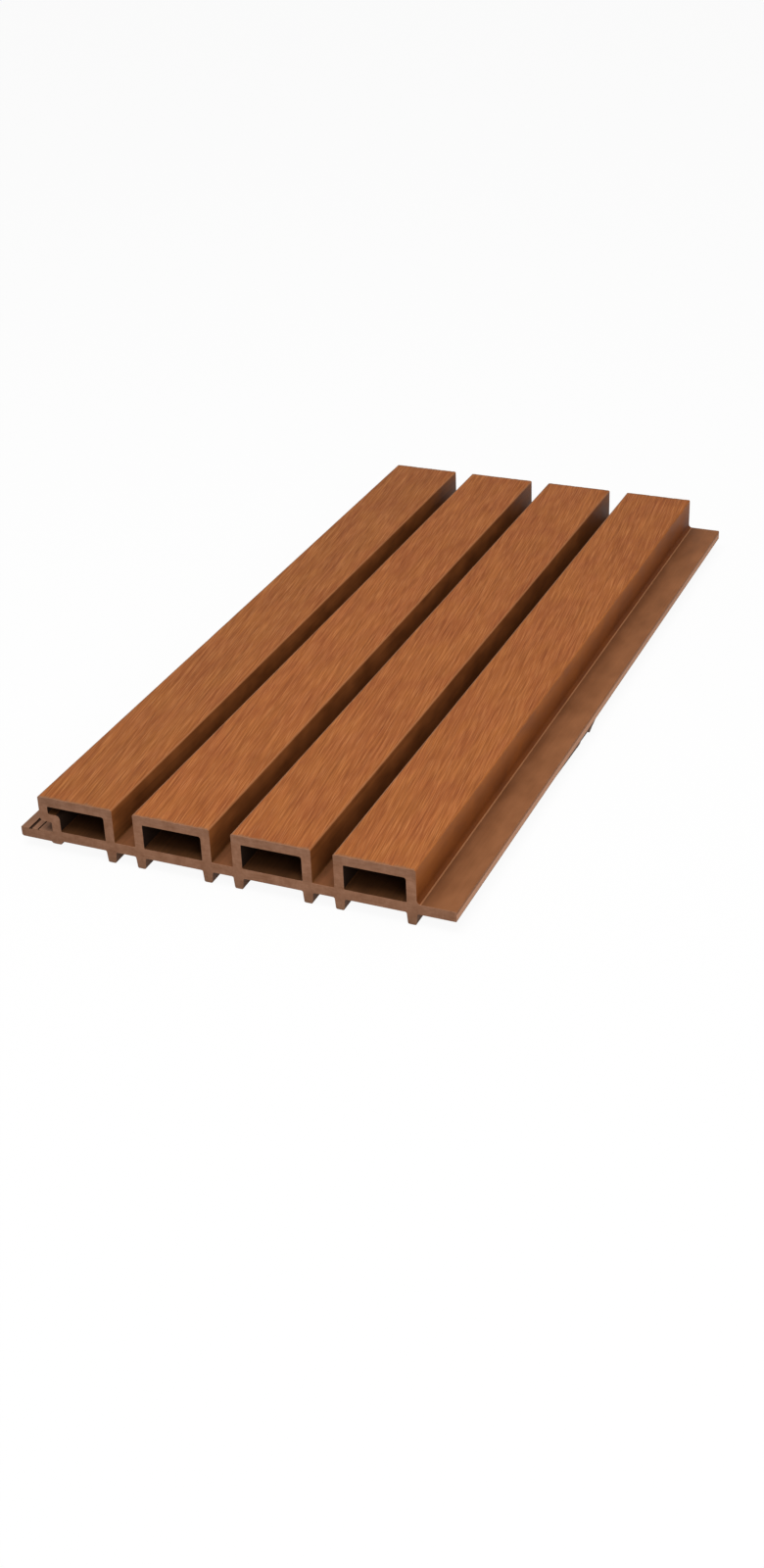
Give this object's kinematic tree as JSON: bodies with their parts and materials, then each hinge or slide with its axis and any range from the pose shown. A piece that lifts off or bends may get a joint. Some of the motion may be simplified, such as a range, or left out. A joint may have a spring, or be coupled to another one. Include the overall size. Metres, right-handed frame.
{
  "type": "exterior cladding panel",
  "caption": "Short length of fluted exterior cladding board: hollow raised ribs on a ribbed back plate, a tongue along one long edge and a lipped slot along the other.",
  "frame": {"origin": "middle of the bounding box seen from above, at the height of the feet's tips, which is the floor the board lies on", "axes": "+Y along the length, +X across from the screw lip to the tongue, +Z out of the ribbed face"},
  "size_m": [0.219, 0.435, 0.0285],
  "materials": {
    "composite": "matte brown wood-plastic composite with a brushed grain on the rib faces"
  },
  "bodies": {
    "root": {"cladding_panel": "composite"}
  },
  "joints": []
}
